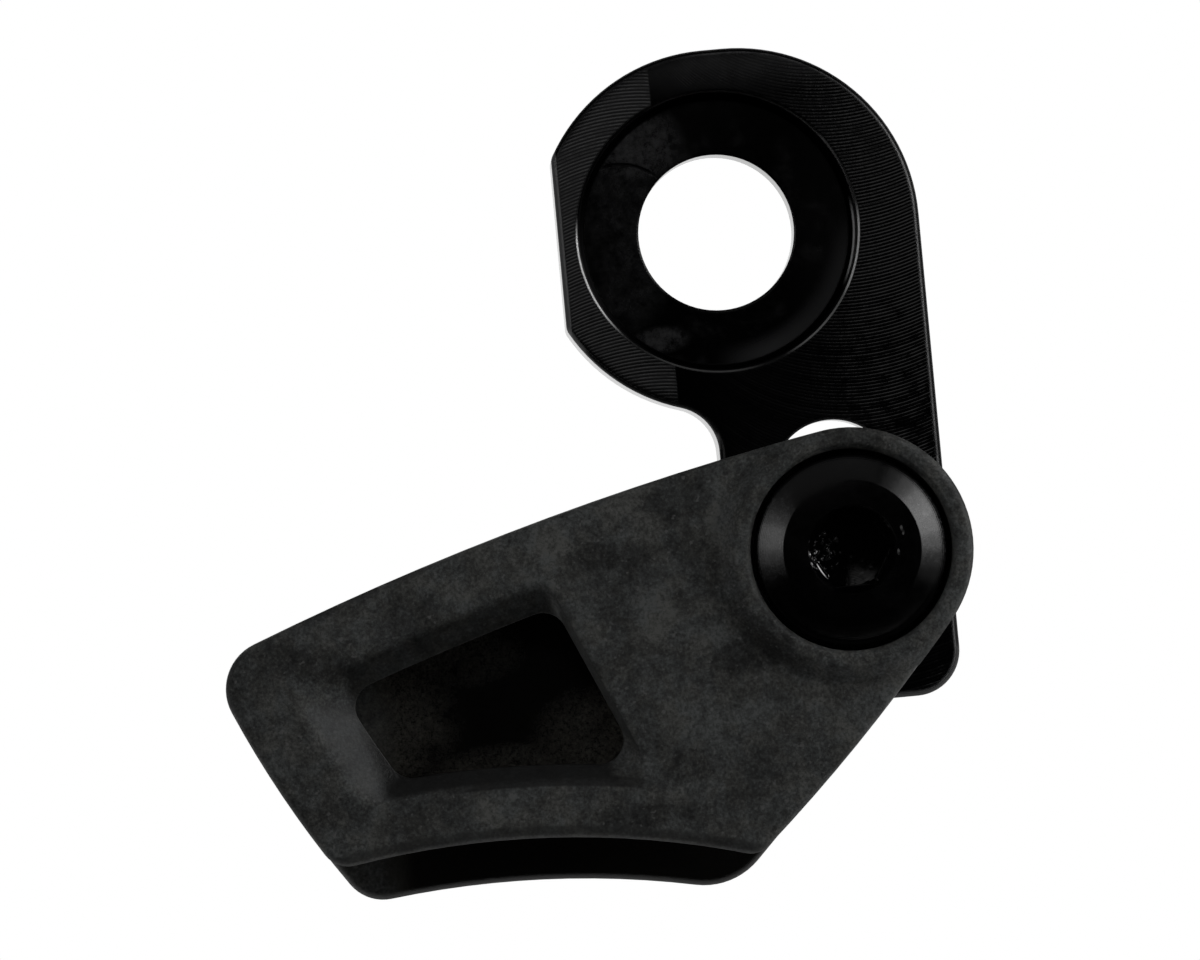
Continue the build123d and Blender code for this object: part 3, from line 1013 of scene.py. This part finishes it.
# stage: a pale floor below and behind, white further off
floorPlan = {
    "height": -75 * mm,
    "front": -25 * mm,
    "back": 1.6,
    "side": 1.4,
    "pale": (0.82, 0.82, 0.82),
    "roughness": 0.9,
    "shadowCentre": (-0.01, 0.055, 0),
    "shadowFade": (0.0255, 0.085),  # the floor turns white over this distance
    "haze": 0.5,  # white over the shadow where it is seen
}


def makeFloor(s):
    mesh = bpy.data.meshes.new("floor")
    sheet = bmesh.new()
    bmesh.ops.create_grid(sheet, x_segments=1, y_segments=1, size=1)
    middle = (s["front"] + s["back"]) / 2
    bmesh.ops.scale(sheet, vec=(s["side"], (s["back"] - s["front"]) / 2, 1), verts=sheet.verts)
    bmesh.ops.translate(sheet, vec=(0, middle, s["height"]), verts=sheet.verts)
    sheet.to_mesh(mesh)
    sheet.free()
    floor = bpy.data.objects.new("floor", mesh)
    scene.collection.objects.link(floor)
    mesh.materials.append(makeFloorFinish(s))


def makeFloorFinish(s):
    material, tree, shader, where = newMaterial("paleFloor")
    shader["Base Color"].default_value = (*s["pale"], 1)
    shader["Roughness"].default_value = s["roughness"]
    path = tree.nodes.new("ShaderNodeLightPath").outputs
    seen = calc(tree, "ADD", path["Is Camera Ray"], path["Is Glossy Ray"])
    seen = calc(tree, "ADD", seen, path["Is Transmission Ray"], clamp=True)
    flat = tree.nodes.new("ShaderNodeMapping")
    flat.inputs["Location"].default_value = [-c for c in s["shadowCentre"]]
    flat.inputs["Scale"].default_value = (1, 1, 0)
    feed(tree, flat.inputs["Vector"], where)
    length = tree.nodes.new("ShaderNodeVectorMath")
    length.operation = "LENGTH"
    feed(tree, length.inputs[0], flat.outputs[0])
    far = smooth(tree, length.outputs["Value"], *s["shadowFade"])
    far = mixed(tree, path["Is Camera Ray"], far, mixed(tree, far, s["haze"], 1.0))
    white = tree.nodes.new("ShaderNodeEmission")
    blend = tree.nodes.new("ShaderNodeMixShader")
    feed(tree, blend.inputs[0], times(tree, seen, far))
    feed(tree, blend.inputs[1], tree.nodes["Principled BSDF"].outputs[0])
    feed(tree, blend.inputs[2], white.outputs[0])
    feed(tree, tree.nodes["Material Output"].inputs["Surface"], blend.outputs[0])
    return material


makeFloor(floorPlan)

# lamps: softboxes set round the viewing direction, seen from the part
# each is a row of strips, by degrees round that direction, with one strength for each strip
lampPlan = {
    "right": {
        "start": -25, "step": 10, "tilt": 70, "deep": 0.46,
        "strips": [0.2, 0.6, 2.4, 4.8, 5.3, 4.1, 1.4, 0.4],
    },
    "left": {
        "start": 135, "step": 10, "tilt": 60, "deep": 0.28,
        "strips": [0.35, 1.0, 2.6, 2.4, 0.9, 0.2],
    },
    "top": {"start": 55, "step": 85, "tilt": 70, "deep": 0.40, "strips": [0.18]},
    "overhead": {"start": 70, "step": 44, "tilt": 19.5, "deep": 0.13, "strips": [0.8]},
}
lampDistance = 0.6
lampAim = Vector((-0.01, -0.01, -0.02))


def makeStrip(name, s, index):
    turn, tilt = math.radians(s["start"] + (index + 0.5) * s["step"]), math.radians(s["tilt"])
    data = bpy.data.lights.new(name, "AREA")
    data.shape = "RECTANGLE"
    data.size = lampDistance * math.sin(tilt) * math.radians(s["step"])
    data.size_y = s["deep"]
    data.energy = s["strips"][index] * math.pi * data.size * data.size_y
    out = Vector((math.sin(tilt) * math.cos(turn), -math.cos(tilt), math.sin(tilt) * math.sin(turn)))
    along = Vector((-math.sin(turn), 0, math.cos(turn)))
    lamp = bpy.data.objects.new(name, data)
    axes = Matrix((along, out.cross(along), out)).transposed().to_4x4()
    lamp.matrix_world = Matrix.Translation(lampAim + out * lampDistance) @ axes
    lamp.visible_camera = False
    scene.collection.objects.link(lamp)


for name, plan in lampPlan.items():
    for index in range(len(plan["strips"])):
        makeStrip(name, plan, index)

# world: white where it is seen, white behind the part in reflections, a dim fill otherwise
worldPlan = {"fill": 0.13, "front": 0.004, "behindStart": 0.3, "behindFull": 0.8}


def makeWorld(s):
    world = bpy.data.worlds.new("studio")
    world.use_nodes = True
    tree = world.node_tree
    direction = split(tree, tree.nodes.new("ShaderNodeTexCoord").outputs["Generated"])
    behind = smooth(tree, direction[1], s["behindStart"], s["behindFull"])
    path = tree.nodes.new("ShaderNodeLightPath").outputs
    mirrored = calc(tree, "ADD", path["Is Glossy Ray"], path["Is Transmission Ray"], clamp=True)
    strength = mixed(tree, mirrored, s["fill"], mixed(tree, behind, s["front"], 1.0))
    strength = mixed(tree, path["Is Camera Ray"], strength, 1.0)
    background = tree.nodes["Background"]
    background.inputs["Color"].default_value = (1, 1, 1, 1)
    feed(tree, background.inputs["Strength"], strength)
    scene.world = world


makeWorld(worldPlan)
print("stage, lamps and world set")

# camera, as the photo was taken: a long lens, a little to the left and below
view = {
    "eye": (-0.02204, -0.385, -0.02463),
    "aim": (-0.00985, -0.005, -0.01669),
    "roll": math.radians(5.3),
    "lens": 162.9,
    "nearest": 0.01,
}


def makeCamera(s):
    camera = bpy.data.objects.new("camera", bpy.data.cameras.new("camera"))
    camera.data.lens = s["lens"]
    camera.data.clip_start = s["nearest"]
    look = (Vector(s["aim"]) - Vector(s["eye"])).normalized()
    upright = Vector((math.sin(s["roll"]), 0, math.cos(s["roll"])))
    across = look.cross(upright).normalized()
    axes = Matrix((across, across.cross(look), -look)).transposed().to_4x4()
    camera.matrix_world = Matrix.Translation(s["eye"]) @ axes
    scene.collection.objects.link(camera)
    scene.camera = camera


makeCamera(view)
